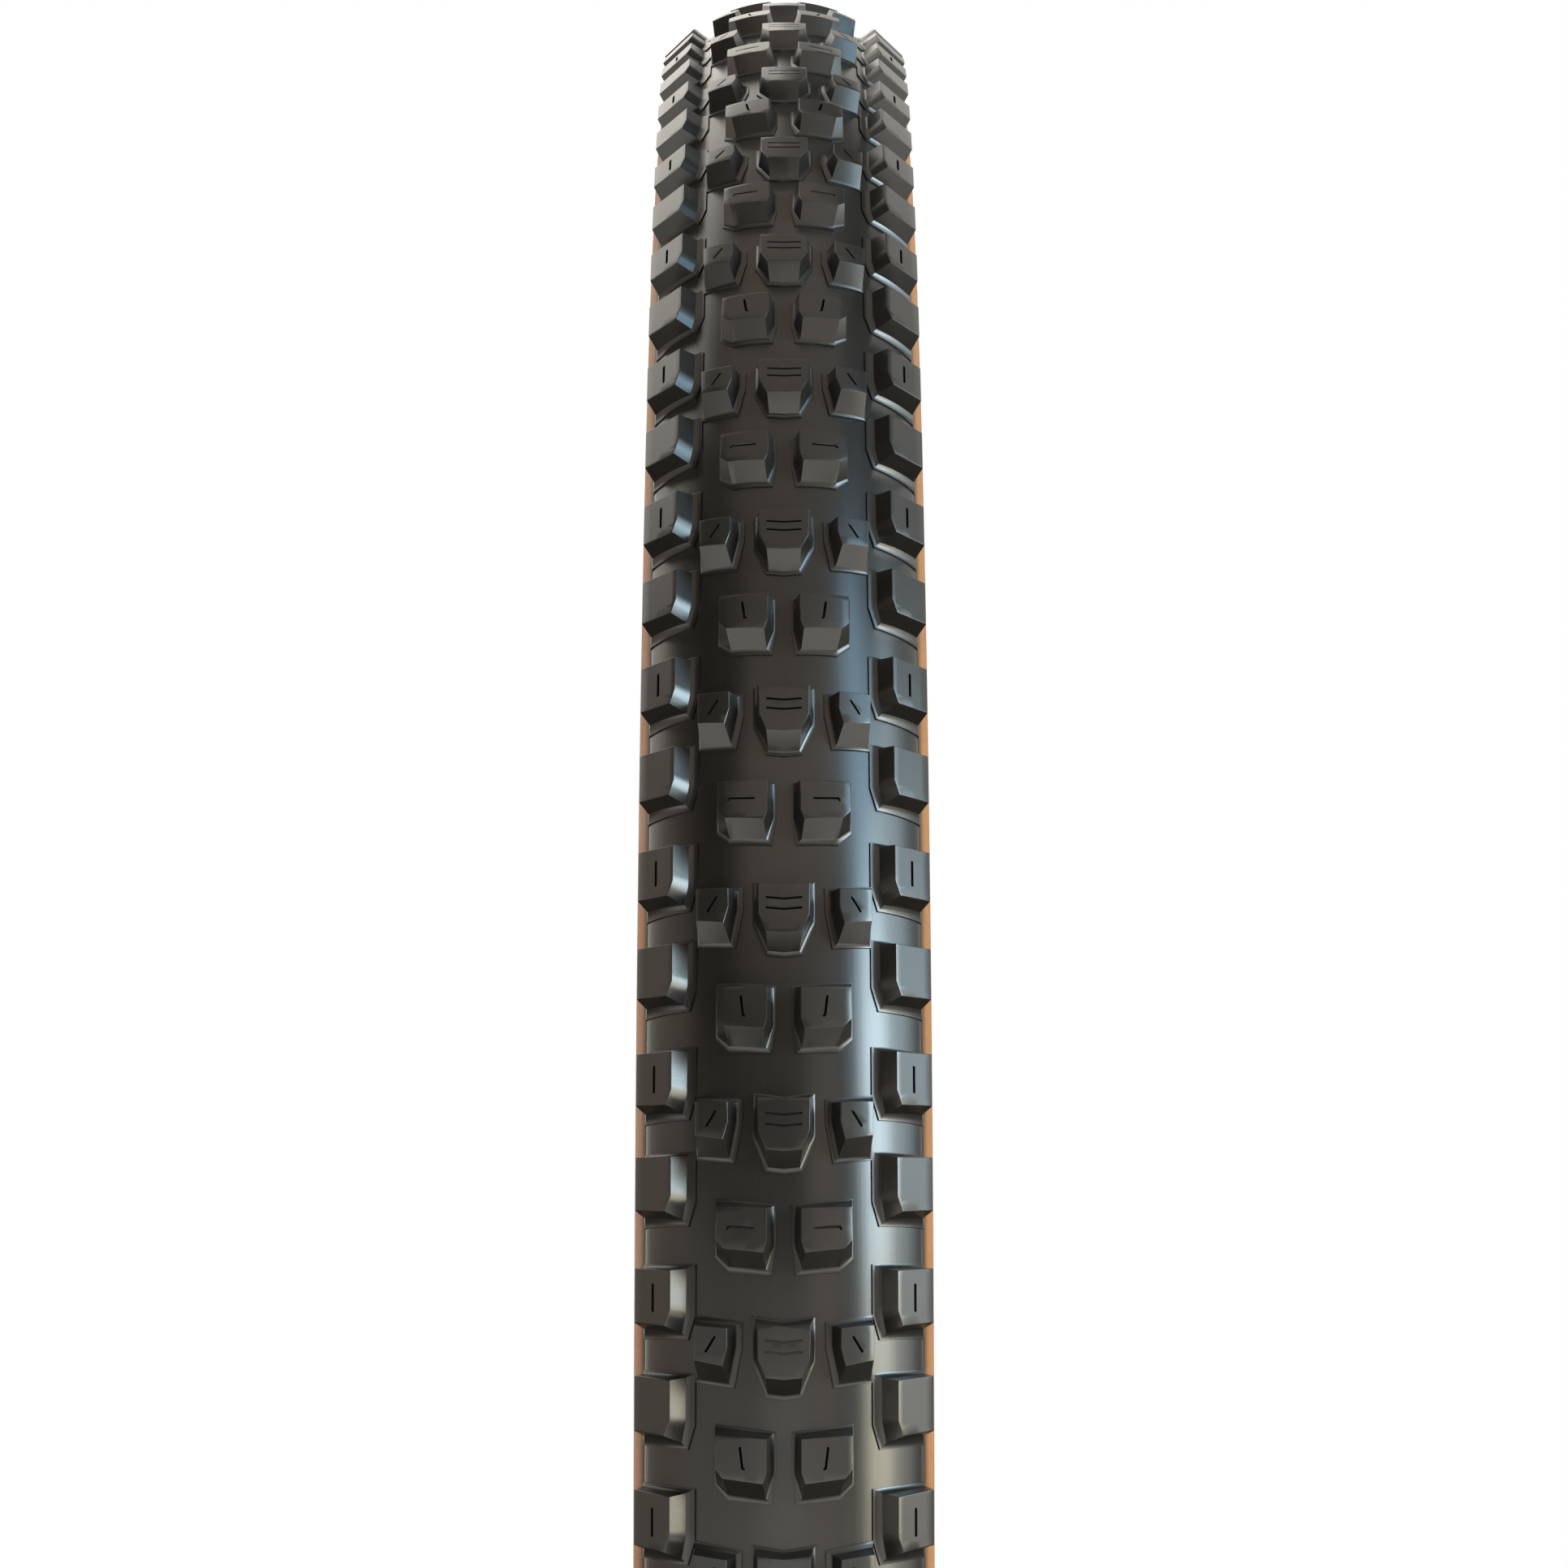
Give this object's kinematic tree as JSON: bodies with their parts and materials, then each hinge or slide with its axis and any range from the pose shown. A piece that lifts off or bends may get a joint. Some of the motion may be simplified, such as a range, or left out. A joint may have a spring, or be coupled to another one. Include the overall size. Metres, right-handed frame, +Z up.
{
  "type": "bicycle tire",
  "caption": "Knobbly off-road bicycle tire with tan sidewalls, shown at its inflated shape, with cable beads that seat on a hooked rim.",
  "frame": {"origin": "wheel centre: on the axle line, midway between the two beads", "axes": "+Y along the axle to the left side, +X to the front, +Z up; the tire turns about Y"},
  "size_m": [0.7426, 0.0598, 0.7426],
  "materials": {
    "centre_knob_rubber": "satin",
    "shoulder_knob_rubber": "satin",
    "tread_base_rubber": "satin",
    "breaker_fabric": "matte",
    "casing_cord": "matte",
    "liner_rubber": "matte",
    "tan_sidewall": "matte",
    "bead_cord": "matte",
    "filler_rubber": "matte",
    "chafer_rubber": "satin"
  },
  "bodies": {
    "root": {"centre_shield_knobs": "centre_knob_rubber", "centre_pair_knobs_transverse": "centre_knob_rubber", "centre_pair_knobs_longitudinal": "centre_knob_rubber", "transition_knobs_left": "shoulder_knob_rubber", "transition_knobs_right": "shoulder_knob_rubber", "side_knobs_siped_left": "shoulder_knob_rubber", "side_knobs_siped_right": "shoulder_knob_rubber", "side_knobs_plain_left": "shoulder_knob_rubber", "side_knobs_plain_right": "shoulder_knob_rubber", "tread_base": "tread_base_rubber", "breaker_strip": "breaker_fabric", "casing_ply_outer": "casing_cord", "casing_ply_inner": "casing_cord", "inner_liner": "liner_rubber", "sidewall_left": "tan_sidewall", "sidewall_right": "tan_sidewall", "bead_core_left": "bead_cord", "bead_core_right": "bead_cord", "bead_filler_left": "filler_rubber", "bead_filler_right": "filler_rubber", "chafer_left": "chafer_rubber", "chafer_right": "chafer_rubber"}
  },
  "joints": []
}
